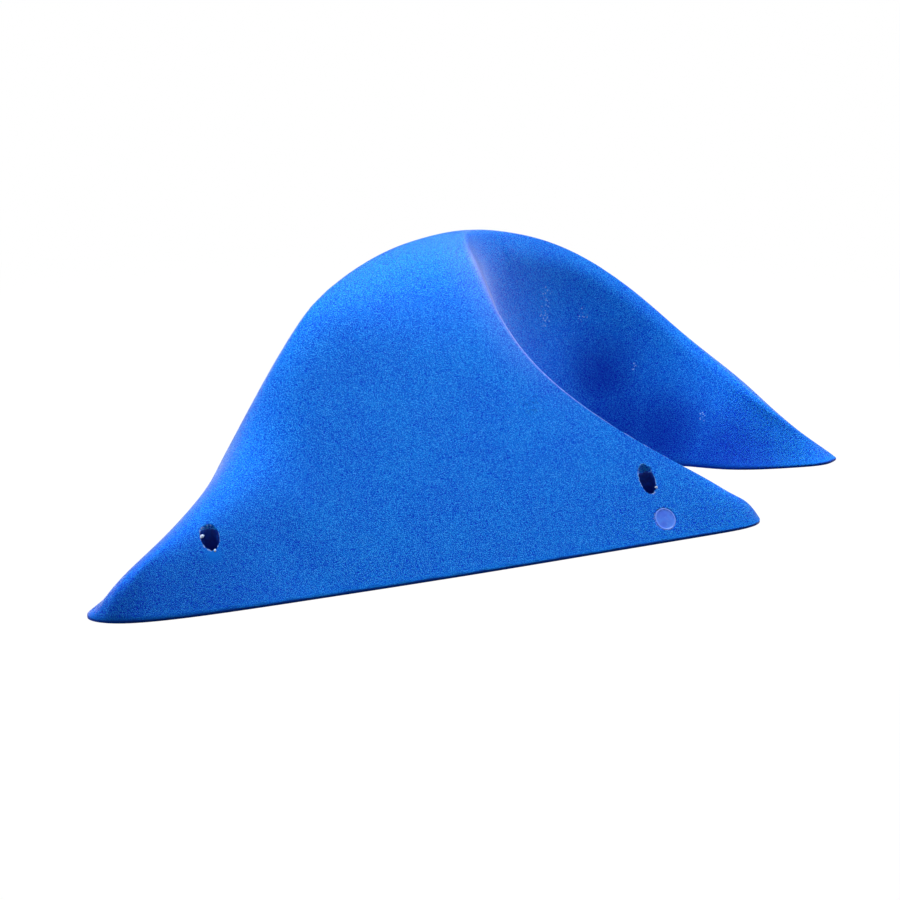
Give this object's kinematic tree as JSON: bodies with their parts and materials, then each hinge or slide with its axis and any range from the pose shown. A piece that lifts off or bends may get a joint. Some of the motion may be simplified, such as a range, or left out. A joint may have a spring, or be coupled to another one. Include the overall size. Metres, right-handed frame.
{
  "type": "climbing hold",
  "caption": "Large sculpted climbing hold, a dune-shaped sweep with a long tail, a domed top, two horns and a concave hand bay, screwed flat to a climbing wall.",
  "frame": {"origin": "middle of the object's box, on the mounting face", "axes": "+X along the straight near edge from the tail towards the horns, +Y across the hold towards its hidden back, +Z away from the climbing wall"},
  "size_m": [0.4746, 0.2314, 0.1415],
  "materials": {
    "casting": "cast polyurethane, sand-textured and matt",
    "badge": "smooth satin",
    "seat_steel": "zinc plated"
  },
  "bodies": {
    "root": {"hold_body": "casting", "badge_disc": "badge", "washer_tail": "seat_steel", "washer_near_horn": "seat_steel", "washer_far_horn": "seat_steel", "washer_back": "seat_steel"}
  },
  "joints": []
}
